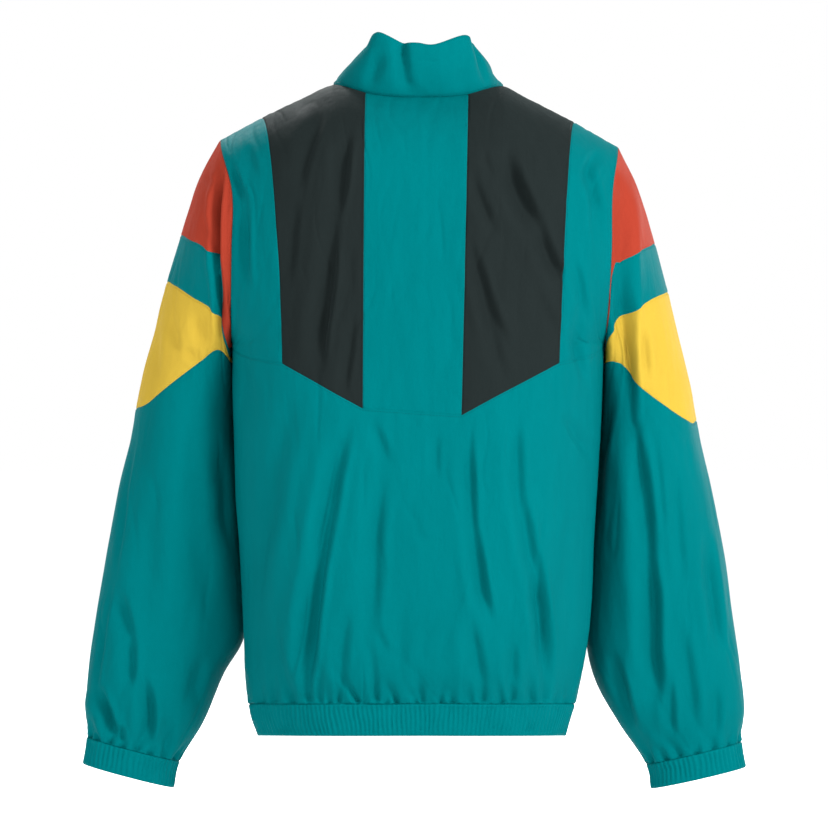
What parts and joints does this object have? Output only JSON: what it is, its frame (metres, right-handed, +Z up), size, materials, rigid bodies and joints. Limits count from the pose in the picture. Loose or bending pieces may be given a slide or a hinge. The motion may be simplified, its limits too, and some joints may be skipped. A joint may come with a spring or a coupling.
{
  "type": "windbreaker",
  "caption": "Hollow zip-front windbreaker with a stand collar, colour-blocked back and sleeves, and ribbed elastic hem and cuffs, filled out with no wearer.",
  "frame": {"origin": "middle of the neck opening, level with the neck seam at the centre back, where the garment is held", "axes": "+Z up along the garment, +Y towards its back, +X towards the wearer's left"},
  "size_m": [0.7012, 0.2723, 0.7908],
  "materials": {
    "teal_nylon": "thin crinkled nylon with a slight sheen",
    "charcoal_nylon": "thin crinkled nylon with a slight sheen",
    "red_nylon": "thin crinkled nylon with a slight sheen",
    "yellow_nylon": "thin crinkled nylon with a slight sheen",
    "teal_elastic": "nylon gathered over elastic",
    "zip_tape": "woven tape",
    "zip_teeth": "moulded teeth",
    "zip_metal": "satin metal"
  },
  "bodies": {
    "jacket": {"back_center": "teal_nylon", "back_black_left": "charcoal_nylon", "back_black_right": "charcoal_nylon", "back_side_left": "teal_nylon", "back_side_right": "teal_nylon", "back_lower": "teal_nylon", "front_left": "teal_nylon", "front_right": "teal_nylon", "sleeve_red_left": "red_nylon", "sleeve_red_right": "red_nylon", "sleeve_band_left": "teal_nylon", "sleeve_band_right": "teal_nylon", "sleeve_yellow_left": "yellow_nylon", "sleeve_yellow_right": "yellow_nylon", "sleeve_lower_left": "teal_nylon", "sleeve_lower_right": "teal_nylon", "cuff_left": "teal_elastic", "cuff_right": "teal_elastic", "hem_band": "teal_elastic", "collar": "teal_nylon", "zip_tape_left": "zip_tape", "zip_tape_right": "zip_tape", "zip_chain": "zip_teeth", "zip_slider": "zip_metal"},
    "pull_tab": {"zip_pull": "zip_metal"}
  },
  "joints": [
    {"name": "pull_swing", "type": "hinge", "parent": "jacket", "child": "pull_tab", "pos_m": [0, -0.08725, -0.01274], "axis": [-1, 0, 0], "range_deg": [0, 150]}
  ]
}
